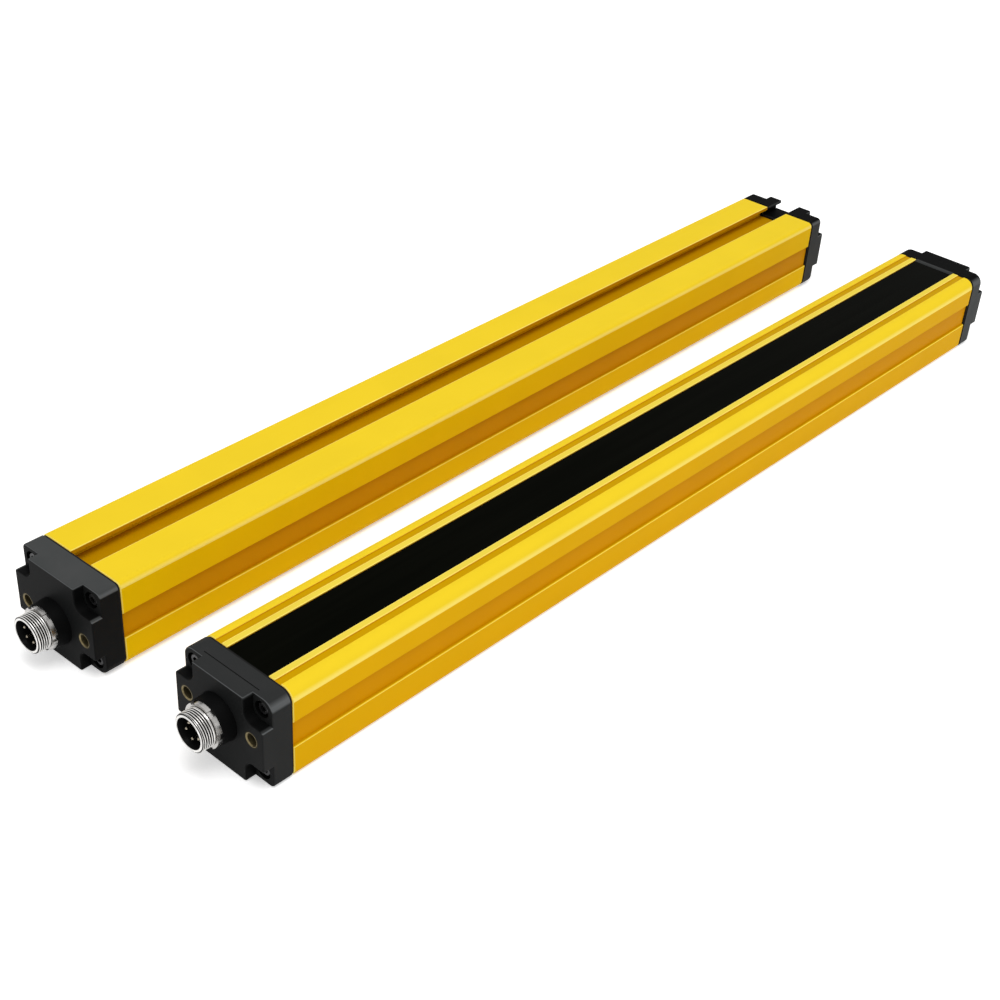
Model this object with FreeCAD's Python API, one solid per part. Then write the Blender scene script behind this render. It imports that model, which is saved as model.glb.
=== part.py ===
import FreeCAD, Part
import math
import os

# A safety light curtain: an emitter bar and a receiver bar, each an extruded aluminium housing
# with a window strip in its front, a T-slot in its back, screwed end caps and a round connector.
#
# Every bar is first built along its own axis: X runs along the bar from the joint between the
# near cap and the profile, Y runs across it and Z points out of the window. Cap parts are built
# "outward", with X growing away from the profile, and are then turned or moved to their end.
# All sizes are in millimetres.

# Housing profile
PROFILE_LENGTH = 485.0
PROFILE_WIDTH = 48.0
PROFILE_DEPTH = 40.0
FRONT_CORNER_RADIUS = 5.0
BACK_CORNER_RADIUS = 2.5
EDGE_ROUNDING = 0.3
END_CHAMFER = 0.4
SIDE_WALL = 3.5
BACK_WALL = 2.4
SIDE_GROOVE_WIDTH = 11.6
SIDE_GROOVE_DEPTH = 1.2

# Front of the profile: window lips, ledge and the two shallow grooves beside them
WINDOW_OPENING = 22.6
LIP_WIDTH = 3.1
LIP_THICKNESS = 1.8
FRONT_GROOVE_WIDTH = 3.3
FRONT_GROOVE_DEPTH = 0.6
WINDOW_LEDGE_THICKNESS = 1.6
WINDOW_LEDGE_REACH = 3.4

# Window strip and its seals
WINDOW_RECESS = 0.5
WINDOW_FLANGE_REACH = 2.2
WINDOW_FLANGE_THICKNESS = 1.7
WINDOW_SEAL_THICKNESS = 0.8
WINDOW_SEAL_WIDTH = 2.4
WINDOW_SIDE_CLEARANCE = 0.15
WINDOW_END_CLEARANCE = 0.1

# T-slot in the back
SLOT_OPENING = 12.5
SLOT_LIP_THICKNESS = 1.8
SLOT_WIDTH = 21.0
SLOT_DEPTH = 6.8
SLOT_WALL = 1.8

# Screws of the caps and the ports that they cut their threads in
SCREW_SPACING_Y = 36.8
SCREW_SPACING_Z = 29.2
SCREW_DIAMETER = 3.0
SCREW_FIT = 0.05
SCREW_GRIP = 10.0
SCREW_HEAD_DIAMETER = 6.0
SCREW_HEAD_HEIGHT = 2.2
SCREW_HEAD_CHAMFER = 0.7
SCREW_DRIVE_WIDTH = 2.5
SCREW_DRIVE_DEPTH = 1.1
SCREW_RECESS_DIAMETER = 7.0
PORT_RADIUS = 3.4

# End caps and gaskets
GASKET_THICKNESS = 1.0
GASKET_INSET = 0.4
CAP_FLANGE_END = 9.6
CAP_END = 14.3
CAP_SCREW_SEAT = 6.8
CAP_ARM_WIDTH_Y = 27.8
CAP_ARM_WIDTH_Z = 19.2
CAP_POCKET_RADIUS = 4.0
CAP_EDGE_ROUNDING = 0.6
CAP_ARM_ROUNDING = 1.0
CAP_WALL = 3.0
CAP_CAVITY_WIDTH = 25.0
CAP_CAVITY_END = 9.0
CAP_CAVITY_RADIUS = 2.0
MARK_GROOVE_LENGTH = 30.0
MARK_GROOVE_WIDTH = 0.5
MARK_GROOVE_DEPTH = 0.4
MARK_GROOVE_PLACE = 7.5

# Tongue of the far cap over the end of the window, and the T-shaped notch through that cap
TONGUE_REACH = 2.0
TONGUE_ROUNDING = 1.2
NOTCH_WIDTH = 18.0
NOTCH_DEPTH = 5.6

# Threaded inserts in the near cap
INSERT_SPACING = 35.4
INSERT_DIAMETER = 7.0
INSERT_BORE = 5.0
INSERT_LENGTH = 8.0
INSERT_CHAMFER = 0.4

# Round connector
CONNECTOR_OFFSET = 2.7
COLLAR_END = 20.0
COLLAR_BASE_RADIUS = 10.0
COLLAR_TIP_RADIUS = 9.6
BARREL_RADIUS = 8.0
BARREL_END = 28.1
BARREL_CHAMFER = 0.6
THREAD_RELIEF_WIDTH = 0.3
BARREL_BORE_RADIUS = 6.45
BARREL_BODY_WALL = 0.9
BARREL_FIT = 0.1
BARREL_FLANGE_RADIUS = 10.2
BARREL_FLANGE_THICKNESS = 2.0
CONNECTOR_SEAL_THICKNESS = 0.8
NUT_RADIUS = 9.25
NUT_THICKNESS = 2.0
NUT_NOTCH_COUNT = 6
NUT_NOTCH_WIDTH = 2.6
NUT_NOTCH_DEPTH = 0.8
INSULATOR_FACE = 20.1
INSULATOR_FIT = 0.05
INSULATOR_FLANGE_RADIUS = 8.0
INSULATOR_FLANGE_THICKNESS = 2.0
PIN_COUNT = 5
PIN_CIRCLE_RADIUS = 3.6
PIN_RADIUS = 0.6
PIN_END = 26.5
PIN_TIP_CHAMFER = 0.3
PIN_FIRST_ANGLE = 192.0
PIN_FIT = 0.05
PIN_TAIL_LENGTH = 0.6

# Boards and rails
BOARD_THICKNESS = 1.6
BOARD_CLEARANCE = 0.15
RAIL_THICKNESS = 1.2
RAIL_REACH = 1.6
OPTICS_BOARD_LEVEL = 1.0
OPTICS_BOARD_END_GAP = 4.0
CONTROL_BOARD_LEVEL = -8.2
CONTROL_BOARD_START = 1.2
CONTROL_BOARD_LENGTH = 130.0
CONNECTOR_BOARD_START = 1.2
CONNECTOR_BOARD_WIDTH = 18.0
CONNECTOR_BOARD_TOP = 12.0
ANGLE_HEADER_SIZE = (4.0, 12.0, 3.0)
BOARD_HEADER_START = 60.0
BOARD_HEADER_SIZE = (5.0, 20.0)

# Beams: baffle, lenses, emitting or receiving elements
BEAM_PITCH = 30.0
BEAM_NEAR_MARGIN = 25.0
BEAM_FAR_MARGIN = 10.0
CARRIER_OVERHANG = 8.5
CARRIER_END_GAP = 1.5
CARRIER_WIDTH = 20.0
CARRIER_HEIGHT = 10.0
BEAM_HOLE_RADIUS = 3.0
BEAM_MOUTH_RADIUS = 7.0
LENS_PLATE_WIDTH = 17.2
LENS_PLATE_THICKNESS = 1.2
LENS_CLEARANCE = 0.1
LENS_RADIUS = 7.5
LENS_HEIGHT = 1.6
LED_RADIUS = 2.5
LED_HEIGHT = 5.6
LED_CROWN = 1.2
PHOTODIODE_SIZE = (4.2, 4.2, 1.6)

# Small parts on the boards
STATUS_LED_SIZE = (1.2, 1.6, 0.8)
STATUS_LED_PLACE = 9.0
STATUS_LED_SPACING = 5.0
STATUS_LED_COUNT = 3
LIGHT_GUIDE_RADIUS = 1.2
LIGHT_GUIDE_FOOT = (5.0, 14.0, 1.6)
LIGHT_GUIDE_WINDOW_GAP = 0.5
PROCESSOR_SIZE = (14.0, 14.0, 1.4)
PROCESSOR_PLACE = 95.0
INDUCTOR_RADIUS = 4.0
INDUCTOR_HEIGHT = 4.5
INDUCTOR_PLACE = 40.0
CAPACITOR_RADIUS = 3.0
CAPACITOR_HEIGHT = 6.0
CAPACITOR_PLACE = 25.0
CHIP_SIDE_STEP = 9.0

# Where the receiver lies beside the emitter
BAR_GAP = 43.4
RECEIVER_SET_BACK = 5.2
RECEIVER_TURN = 0.99

# How far a cut runs past the surface that it opens, and how near two places count as one
OVERCUT = 1.0
TOLERANCE = 1e-4

# Sizes that follow from the ones above
HALF_WIDTH = PROFILE_WIDTH / 2
HALF_DEPTH = PROFILE_DEPTH / 2
HALF_WINDOW = WINDOW_OPENING / 2
CAVITY_HALF_WIDTH = HALF_WIDTH - SIDE_WALL
CAVITY_BACK = -HALF_DEPTH + BACK_WALL
SLOT_FLOOR = -HALF_DEPTH + SLOT_DEPTH
SLOT_BOX_TOP = SLOT_FLOOR + SLOT_WALL
SLOT_BOX_HALF_WIDTH = SLOT_WIDTH / 2 + SLOT_WALL
LIP_UNDERSIDE = HALF_DEPTH - LIP_THICKNESS
WINDOW_BOTTOM = LIP_UNDERSIDE - WINDOW_FLANGE_THICKNESS
WINDOW_TOP = HALF_DEPTH - WINDOW_RECESS
LEDGE_TOP = WINDOW_BOTTOM - WINDOW_SEAL_THICKNESS
LEDGE_BOTTOM = LEDGE_TOP - WINDOW_LEDGE_THICKNESS
WINDOW_HALF_WIDTH = HALF_WINDOW + WINDOW_FLANGE_REACH
WINDOW_SLOT_HALF_WIDTH = WINDOW_HALF_WIDTH + WINDOW_SIDE_CLEARANCE
LEDGE_INNER = WINDOW_SLOT_HALF_WIDTH - WINDOW_LEDGE_REACH
FRONT_GROOVE_INNER = HALF_WINDOW + LIP_WIDTH
FRONT_GROOVE_OUTER = FRONT_GROOVE_INNER + FRONT_GROOVE_WIDTH
TONGUE_HALF_WIDTH = HALF_WINDOW - WINDOW_SIDE_CLEARANCE
TONGUE_BOTTOM = LIP_UNDERSIDE + WINDOW_END_CLEARANCE
SCREW_Y = SCREW_SPACING_Y / 2
SCREW_Z = SCREW_SPACING_Z / 2
SCREW_HOLE_RADIUS = SCREW_DIAMETER / 2 + SCREW_FIT
CAP_CAVITY_BOTTOM = -HALF_DEPTH + NOTCH_DEPTH + CAP_WALL
CAP_CAVITY_TOP = LEDGE_BOTTOM - BOARD_CLEARANCE
BOARD_HALF_WIDTH = CAVITY_HALF_WIDTH - BOARD_CLEARANCE
OPTICS_BOARD_TOP = OPTICS_BOARD_LEVEL + BOARD_THICKNESS
CONTROL_BOARD_TOP = CONTROL_BOARD_LEVEL + BOARD_THICKNESS
CARRIER_TOP = OPTICS_BOARD_TOP + CARRIER_HEIGHT
LENS_SEAT = CARRIER_TOP - LENS_PLATE_THICKNESS
BEAM_SPAN = PROFILE_LENGTH - BEAM_NEAR_MARGIN - BEAM_FAR_MARGIN
BEAM_COUNT = int(BEAM_SPAN / BEAM_PITCH + TOLERANCE) + 1
BEAM_PLACES = [BEAM_NEAR_MARGIN + BEAM_PITCH * index for index in range(BEAM_COUNT)]
CARRIER_START = BEAM_PLACES[0] - CARRIER_OVERHANG
CARRIER_STOP = PROFILE_LENGTH - CARRIER_END_GAP
CONNECTOR_BOARD_END = CONNECTOR_BOARD_START + BOARD_THICKNESS
CONNECTOR_SEAL_START = CAP_CAVITY_END - CONNECTOR_SEAL_THICKNESS
BARREL_START = CONNECTOR_SEAL_START - BARREL_FLANGE_THICKNESS
INSULATOR_START = BARREL_START - INSULATOR_FLANGE_THICKNESS
NUT_START = COLLAR_END
NUT_END = NUT_START + NUT_THICKNESS
THREAD_START = NUT_END + THREAD_RELIEF_WIDTH
BARREL_BODY_RADIUS = BARREL_BORE_RADIUS + BARREL_BODY_WALL

ALONG = FreeCAD.Vector(1, 0, 0)
UP = FreeCAD.Vector(0, 0, 1)
ORIGIN = FreeCAD.Vector(0, 0, 0)


def point(x, y, z):
    """A position in the bar's own frame."""
    return FreeCAD.Vector(x, y, z)


# Flat sections across the bar, and solids made from them


def rectangle(y_min, y_max, z_min, z_max):
    """A rectangular section in the plane X = 0."""
    corners = [(y_min, z_min), (y_max, z_min), (y_max, z_max), (y_min, z_max), (y_min, z_min)]
    return Part.Face(Part.makePolygon([point(0, y, z) for y, z in corners]))


def rounded_rectangle(y_min, y_max, z_min, z_max, top_radius, bottom_radius):
    """A rectangular section with its two upper and its two lower corners rounded."""
    corners = [(y_max, z_max, 1, 1), (y_min, z_max, -1, 1), (y_min, z_min, -1, -1), (y_max, z_min, 1, -1)]
    diagonal = math.sqrt(0.5)
    arcs = []
    for index, (y, z, side, level) in enumerate(corners):
        radius = top_radius if level > 0 else bottom_radius
        middle_y = y - side * radius
        middle_z = z - level * radius
        flat = point(0, y, middle_z)
        upright = point(0, middle_y, z)
        first, last = (flat, upright) if index % 2 == 0 else (upright, flat)
        middle = point(0, middle_y + side * radius * diagonal, middle_z + level * radius * diagonal)
        arcs.append(Part.Arc(first, middle, last))
    edges = []
    for arc, following in zip(arcs, arcs[1:] + arcs[:1]):
        edges.append(arc.toShape())
        edges.append(Part.LineSegment(arc.EndPoint, following.StartPoint).toShape())
    return Part.Face(Part.Wire(edges))


def hexagon(width):
    """A hexagonal section, `width` across its flats."""
    corner_radius = width / math.sqrt(3)
    angles = [math.radians(360 / 6 * index) for index in range(6)]
    corners = [
        point(0, corner_radius * math.cos(angle), corner_radius * math.sin(angle)) for angle in angles
    ]
    return Part.Face(Part.makePolygon(corners + corners[:1]))


def disc(y, z, radius):
    """A round section with its centre at (y, z)."""
    return Part.Face(Part.Wire(Part.makeCircle(radius, point(0, y, z), ALONG)))


def prism(section, start, end):
    """The solid that a section sweeps from X = start to X = end."""
    placed = section.copy()
    placed.translate(ALONG * start)
    return union(face.extrude(ALONG * (end - start)) for face in placed.Faces)


def block(x_min, x_max, y_min, y_max, z_min, z_max):
    """A plain rectangular solid between the given limits."""
    return Part.makeBox(x_max - x_min, y_max - y_min, z_max - z_min, point(x_min, y_min, z_min))


def centred_block(x_min, x_max, width, z_min, z_max):
    """A rectangular solid centred on Y = 0."""
    return block(x_min, x_max, -width / 2, width / 2, z_min, z_max)


def pillar(x, y, z_min, z_max, radius):
    """An upright round solid."""
    return Part.makeCylinder(radius, z_max - z_min, point(x, y, z_min), UP)


def rod(start, end, radius, y=0.0, z=0.0):
    """A round solid along the bar."""
    return Part.makeCylinder(radius, end - start, point(start, y, z), ALONG)


def union(shapes):
    """Shapes joined into one, without the seams between them."""
    shapes = list(shapes)
    if len(shapes) == 1:
        return shapes[0]
    return shapes[0].fuse(shapes[1:]).removeSplitter()


def both_sides(make):
    """What `make` returns for the right side (-1) and for the left side (+1)."""
    return [make(-1), make(1)]


def side_span(side, inner, outer):
    """The Y limits of a band that lies between two distances from the middle, on one side."""
    return (inner, outer) if side > 0 else (-outer, -inner)


def screw_places():
    """The four screw centres of an end cap."""
    return [(side * SCREW_Y, level * SCREW_Z) for side in (-1, 1) for level in (-1, 1)]


def outline(inset=0.0):
    """The outer outline shared by the profile, the gaskets and the caps."""
    half_width = HALF_WIDTH - inset
    half_depth = HALF_DEPTH - inset
    front_radius = FRONT_CORNER_RADIUS - inset
    back_radius = BACK_CORNER_RADIUS - inset
    return rounded_rectangle(-half_width, half_width, -half_depth, half_depth, front_radius, back_radius)


def edges_along(shape, y, z):
    """The straight edges of a shape that run along the bar at (y, z)."""
    box_faces = [("YMin", y), ("YMax", y), ("ZMin", z), ("ZMax", z)]
    return [
        edge for edge in shape.Edges
        if all(abs(getattr(edge.BoundBox, face) - value) < TOLERANCE for face, value in box_faces)
    ]


def rim_edges(shape, level):
    """The edges of a shape that lie wholly in the plane X = level."""
    return [
        edge for edge in shape.Edges
        if abs(edge.BoundBox.XMin - level) < TOLERANCE and abs(edge.BoundBox.XMax - level) < TOLERANCE
    ]


# Housing profile


def t_slot_section(width, depth):
    """The T-shaped section of the slot, open at the back."""
    throat = rectangle(-SLOT_OPENING / 2, SLOT_OPENING / 2, -HALF_DEPTH - OVERCUT, -HALF_DEPTH + depth)
    undercut = rectangle(-width / 2, width / 2, -HALF_DEPTH + SLOT_LIP_THICKNESS, -HALF_DEPTH + depth)
    return union([throat, undercut])


def corner_post(side, level):
    """The metal round one screw port, which fills the corner of the profile."""
    inner_y = SCREW_Y - PORT_RADIUS
    inner_z = SCREW_Z - PORT_RADIUS
    y_span = side_span(side, inner_y, HALF_WIDTH + PORT_RADIUS)
    z_span = side_span(level, inner_z, HALF_DEPTH + PORT_RADIUS)
    return rounded_rectangle(*y_span, *z_span, PORT_RADIUS, PORT_RADIUS)


def board_rails(side, board_level):
    """The two ribs on one inner wall that a board's edge slides between."""
    y_span = side_span(side, CAVITY_HALF_WIDTH - RAIL_REACH, CAVITY_HALF_WIDTH + OVERCUT)
    below = board_level - BOARD_CLEARANCE
    above = board_level + BOARD_THICKNESS + BOARD_CLEARANCE
    return [
        rectangle(*y_span, below - RAIL_THICKNESS, below),
        rectangle(*y_span, above, above + RAIL_THICKNESS),
    ]


def cavity_section():
    """The hollow of the profile, around its screw ports, T-slot box and board rails."""
    hollow = rectangle(-CAVITY_HALF_WIDTH, CAVITY_HALF_WIDTH, CAVITY_BACK, LEDGE_BOTTOM)
    posts = [corner_post(side, level) for side in (-1, 1) for level in (-1, 1)]
    slot_box = rectangle(-SLOT_BOX_HALF_WIDTH, SLOT_BOX_HALF_WIDTH, -HALF_DEPTH, SLOT_BOX_TOP)
    rails = []
    for side in (-1, 1):
        for level in (OPTICS_BOARD_LEVEL, CONTROL_BOARD_LEVEL):
            rails += board_rails(side, level)
    return hollow.cut(posts + [slot_box] + rails)


def window_seat_section():
    """The opening between the lips, the slot for the window and its seals, and the light passage."""
    opening = rectangle(-HALF_WINDOW, HALF_WINDOW, LIP_UNDERSIDE, HALF_DEPTH + OVERCUT)
    slot = rectangle(-WINDOW_SLOT_HALF_WIDTH, WINDOW_SLOT_HALF_WIDTH, LEDGE_TOP, LIP_UNDERSIDE)
    passage = rectangle(-LEDGE_INNER, LEDGE_INNER, LEDGE_BOTTOM, LEDGE_TOP)
    return union([opening, slot, passage])


def outer_groove_sections():
    """The shallow grooves beside the window lips and the wide grooves in the sides."""
    grooves = []
    for side in (-1, 1):
        front_span = side_span(side, FRONT_GROOVE_INNER, FRONT_GROOVE_OUTER)
        grooves.append(rectangle(*front_span, HALF_DEPTH - FRONT_GROOVE_DEPTH, HALF_DEPTH + OVERCUT))
        side_groove = side_span(side, HALF_WIDTH - SIDE_GROOVE_DEPTH, HALF_WIDTH + OVERCUT)
        grooves.append(rectangle(*side_groove, -SIDE_GROOVE_WIDTH / 2, SIDE_GROOVE_WIDTH / 2))
    return grooves


def rounded_edge_places():
    """The outer edges along the bar that are broken, as (y, z, depth of the step behind the edge)."""
    places = []
    for side in (-1, 1):
        places.append((side * HALF_WINDOW, HALF_DEPTH, WINDOW_RECESS))
        places.append((side * FRONT_GROOVE_INNER, HALF_DEPTH, FRONT_GROOVE_DEPTH))
        places.append((side * FRONT_GROOVE_OUTER, HALF_DEPTH, FRONT_GROOVE_DEPTH))
        places.append((side * SLOT_OPENING / 2, -HALF_DEPTH, SLOT_LIP_THICKNESS))
        for level in (-1, 1):
            places.append((side * HALF_WIDTH, level * SIDE_GROOVE_WIDTH / 2, SIDE_GROOVE_DEPTH))
    return places


def housing_profile():
    """The extruded section, with broken edges along the bar and chamfered ends."""
    ports = [disc(y, z, SCREW_HOLE_RADIUS) for y, z in screw_places()]
    cuts = [cavity_section(), window_seat_section(), t_slot_section(SLOT_WIDTH, SLOT_DEPTH)]
    section = outline().cut(cuts + outer_groove_sections() + ports)
    body = prism(section, 0, PROFILE_LENGTH)
    for y, z, step in rounded_edge_places():
        edges = edges_along(body, y, z)
        if edges:
            body = body.makeFillet(min(EDGE_ROUNDING, step / 2), edges)
    envelope = prism(outline(), 0, PROFILE_LENGTH)
    ends = rim_edges(envelope, 0) + rim_edges(envelope, PROFILE_LENGTH)
    return [body.common(envelope.makeChamfer(END_CHAMFER, ends))]


# Window


def front_window():
    """One stepped strip: its flanges lie behind the lips and its middle rises between them.

    The middle stops short of the far end, where the far cap's tongue takes its place.
    """
    flange = rectangle(-WINDOW_HALF_WIDTH, WINDOW_HALF_WIDTH, WINDOW_BOTTOM, LIP_UNDERSIDE)
    half_middle = HALF_WINDOW - WINDOW_SIDE_CLEARANCE
    middle = rectangle(-half_middle, half_middle, LIP_UNDERSIDE, WINDOW_TOP)
    middle_end = PROFILE_LENGTH - TONGUE_REACH - WINDOW_END_CLEARANCE
    return [union([prism(flange, 0, PROFILE_LENGTH), prism(middle, 0, middle_end)])]


def window_seals():
    """Seal strips between the window's flanges and the ledges."""
    def strip(side):
        y_span = side_span(side, WINDOW_HALF_WIDTH - WINDOW_SEAL_WIDTH, WINDOW_HALF_WIDTH)
        return prism(rectangle(*y_span, LEDGE_TOP, WINDOW_BOTTOM), 0, PROFILE_LENGTH)
    return both_sides(strip)


# End caps, gaskets and screws, built outward


def cap_cavity_section():
    half_width = CAP_CAVITY_WIDTH / 2
    radius = CAP_CAVITY_RADIUS
    return rounded_rectangle(-half_width, half_width, CAP_CAVITY_BOTTOM, CAP_CAVITY_TOP, radius, radius)


def gasket():
    holes = [disc(y, z, SCREW_HOLE_RADIUS) for y, z in screw_places()]
    section = outline(GASKET_INSET).cut(holes + [cap_cavity_section()])
    return prism(section, 0, GASKET_THICKNESS)


def boss_section():
    """The plus shape of the cap's outer part: the outline less a pocket at each corner."""
    half_y = CAP_ARM_WIDTH_Y / 2
    half_z = CAP_ARM_WIDTH_Z / 2
    pockets = []
    for side in (-1, 1):
        for level in (-1, 1):
            y_span = side_span(side, half_y, HALF_WIDTH + CAP_POCKET_RADIUS)
            z_span = side_span(level, half_z, HALF_DEPTH + CAP_POCKET_RADIUS)
            pockets.append(rounded_rectangle(*y_span, *z_span, CAP_POCKET_RADIUS, CAP_POCKET_RADIUS))
    return outline().cut(pockets)


def arm_corners():
    """The eight corners at the ends of the boss's arms."""
    corners = []
    for side in (-1, 1):
        for level in (-1, 1):
            corners.append((side * CAP_ARM_WIDTH_Y / 2, level * HALF_DEPTH))
            corners.append((side * HALF_WIDTH, level * CAP_ARM_WIDTH_Z / 2))
    return corners


def cap_blank():
    """A cap without its screw holes: a flange and the plus-shaped boss, with rounded outer edges."""
    boss = prism(boss_section(), CAP_FLANGE_END - CAP_EDGE_ROUNDING, CAP_END)
    for y, z in arm_corners():
        boss = boss.makeFillet(CAP_ARM_ROUNDING, edges_along(boss, y, z))
    boss = boss.makeFillet(CAP_EDGE_ROUNDING, rim_edges(boss, CAP_END))
    flange = prism(outline(), GASKET_THICKNESS, CAP_FLANGE_END)
    flange = flange.makeFillet(CAP_EDGE_ROUNDING, rim_edges(flange, CAP_FLANGE_END))
    return union([flange, boss])


def screw_cuts():
    """The through hole and the head recess of each screw in a cap."""
    cuts = []
    for y, z in screw_places():
        cuts.append(rod(0, CAP_END, SCREW_HOLE_RADIUS, y, z))
        cuts.append(rod(CAP_SCREW_SEAT, CAP_END, SCREW_RECESS_DIAMETER / 2, y, z))
    return cuts


def near_cap():
    """The connector end: collar, insert holes, connector bore and the groove line."""
    collar_base = point(CAP_END, 0, CONNECTOR_OFFSET)
    collar = Part.makeCone(COLLAR_BASE_RADIUS, COLLAR_TIP_RADIUS, COLLAR_END - CAP_END, collar_base, ALONG)
    body = union([cap_blank(), collar])
    cavity = prism(cap_cavity_section(), 0, CAP_CAVITY_END)
    bore = rod(0, COLLAR_END + OVERCUT, BARREL_BODY_RADIUS + BARREL_FIT, 0, CONNECTOR_OFFSET)
    groove = block(
        MARK_GROOVE_PLACE - MARK_GROOVE_WIDTH / 2,
        MARK_GROOVE_PLACE + MARK_GROOVE_WIDTH / 2,
        -MARK_GROOVE_LENGTH / 2,
        MARK_GROOVE_LENGTH / 2,
        HALF_DEPTH - MARK_GROOVE_DEPTH,
        HALF_DEPTH + OVERCUT,
    )
    insert_start = CAP_END - INSERT_LENGTH
    insert_holes = [
        rod(insert_start, CAP_END, INSERT_DIAMETER / 2, side * INSERT_SPACING / 2, CONNECTOR_OFFSET)
        for side in (-1, 1)
    ]
    return body.cut(screw_cuts() + insert_holes + [cavity, bore, groove])


def tongue_section():
    """The section of the tongue that fills the gap between the window lips."""
    return rectangle(-TONGUE_HALF_WIDTH, TONGUE_HALF_WIDTH, TONGUE_BOTTOM, HALF_DEPTH)


def window_tongue():
    """The far cap's tongue over the end of the window, with its upper front edge rounded."""
    tongue = prism(tongue_section(), -TONGUE_REACH, GASKET_THICKNESS)
    front_edges = rim_edges(tongue, -TONGUE_REACH)
    upper_edge = max(front_edges, key=lambda edge: edge.BoundBox.ZMin)
    rounding = min(TONGUE_ROUNDING, HALF_DEPTH - TONGUE_BOTTOM)
    return tongue.makeFillet(rounding, [upper_edge])


def far_cap():
    """The plain end: the T-notch, a hollow inside and the tongue over the end of the window."""
    notch = prism(t_slot_section(NOTCH_WIDTH, NOTCH_DEPTH), 0, CAP_END + OVERCUT)
    cavity = prism(cap_cavity_section(), 0, CAP_CAVITY_END)
    return union([cap_blank(), window_tongue()]).cut(screw_cuts() + [cavity, notch])


def far_gasket():
    """The far end's gasket, open where the T-slot and the cap's tongue pass."""
    notch = prism(t_slot_section(NOTCH_WIDTH, NOTCH_DEPTH), 0, GASKET_THICKNESS)
    return gasket().cut([notch, prism(tongue_section(), 0, GASKET_THICKNESS)])


def pan_screw():
    """A pan-head screw along X with its head's underside at X = 0 and a hexagonal drive."""
    head_radius = SCREW_HEAD_DIAMETER / 2
    head = rod(0, SCREW_HEAD_HEIGHT, head_radius)
    head = head.makeChamfer(SCREW_HEAD_CHAMFER, rim_edges(head, SCREW_HEAD_HEIGHT))
    shank_length = CAP_SCREW_SEAT + SCREW_GRIP
    shank = rod(-shank_length, 0, SCREW_DIAMETER / 2)
    drive = prism(hexagon(SCREW_DRIVE_WIDTH), SCREW_HEAD_HEIGHT - SCREW_DRIVE_DEPTH, SCREW_HEAD_HEIGHT)
    return union([head, shank]).cut(drive)


def cap_screws():
    screws = []
    for y, z in screw_places():
        screw = pan_screw()
        screw.translate(point(CAP_SCREW_SEAT, y, z))
        screws.append(screw)
    return screws


def threaded_inserts():
    """Flush metal sleeves in the near cap, with a small chamfer at the mouth."""
    def sleeve(side):
        start = CAP_END - INSERT_LENGTH
        body = rod(start, CAP_END, INSERT_DIAMETER / 2)
        bore = rod(start, CAP_END, INSERT_BORE / 2)
        mouth = Part.makeCone(
            INSERT_BORE / 2, INSERT_BORE / 2 + INSERT_CHAMFER, INSERT_CHAMFER,
            point(CAP_END - INSERT_CHAMFER, 0, 0), ALONG
        )
        ring = body.cut([bore, mouth])
        ring.translate(point(0, side * INSERT_SPACING / 2, CONNECTOR_OFFSET))
        return ring
    return both_sides(sleeve)


# Connector, built outward on its own axis and then raised to its place


def raised(solids):
    """Connector parts moved from the bar's axis to the connector's."""
    for solid in solids:
        solid.translate(UP * CONNECTOR_OFFSET)
    return solids


def connector_shell():
    """A barrel with an inner flange, a plain body and an outer thread, which is left plain here."""
    flange = rod(BARREL_START, CONNECTOR_SEAL_START, BARREL_FLANGE_RADIUS)
    body = rod(BARREL_START, THREAD_START, BARREL_BODY_RADIUS)
    threaded = rod(THREAD_START, BARREL_END, BARREL_RADIUS)
    threaded = threaded.makeChamfer(BARREL_CHAMFER, rim_edges(threaded, BARREL_END))
    bore = rod(BARREL_START, BARREL_END, BARREL_BORE_RADIUS)
    return raised([union([flange, body, threaded]).cut(bore)])


def connector_seal():
    """The flat ring between the barrel's flange and the inside of the cap."""
    ring = rod(CONNECTOR_SEAL_START, CAP_CAVITY_END, BARREL_FLANGE_RADIUS)
    bore = rod(CONNECTOR_SEAL_START, CAP_CAVITY_END, BARREL_BODY_RADIUS + BARREL_FIT)
    return raised([ring.cut(bore)])


def connector_nut():
    """A round nut with notches for a pin wrench, clamped against the collar."""
    bore = rod(NUT_START, NUT_END, BARREL_BODY_RADIUS + BARREL_FIT)
    body = rod(NUT_START, NUT_END, NUT_RADIUS).cut(bore)
    notch_floor = NUT_RADIUS - NUT_NOTCH_DEPTH
    half_notch = NUT_NOTCH_WIDTH / 2
    notch = block(NUT_START, NUT_END, notch_floor, NUT_RADIUS + OVERCUT, -half_notch, half_notch)
    notches = []
    for index in range(NUT_NOTCH_COUNT):
        turned = notch.copy()
        turned.rotate(ORIGIN, ALONG, 360 / NUT_NOTCH_COUNT * index)
        notches.append(turned)
    return raised([body.cut(notches)])


def pin_places():
    """The pin centres, from the connector's axis."""
    angles = [math.radians(PIN_FIRST_ANGLE + 360 / PIN_COUNT * index) for index in range(PIN_COUNT)]
    return [(PIN_CIRCLE_RADIUS * math.cos(angle), PIN_CIRCLE_RADIUS * math.sin(angle)) for angle in angles]


def connector_insulator():
    """The insert that holds the pins, seated on the rear face of the barrel."""
    core = rod(INSULATOR_START, INSULATOR_FACE, BARREL_BORE_RADIUS - INSULATOR_FIT)
    flange = rod(INSULATOR_START, BARREL_START, INSULATOR_FLANGE_RADIUS)
    holes = [rod(INSULATOR_START, INSULATOR_FACE, PIN_RADIUS + PIN_FIT, y, z) for y, z in pin_places()]
    return raised([union([core, flange]).cut(holes)])


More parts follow.
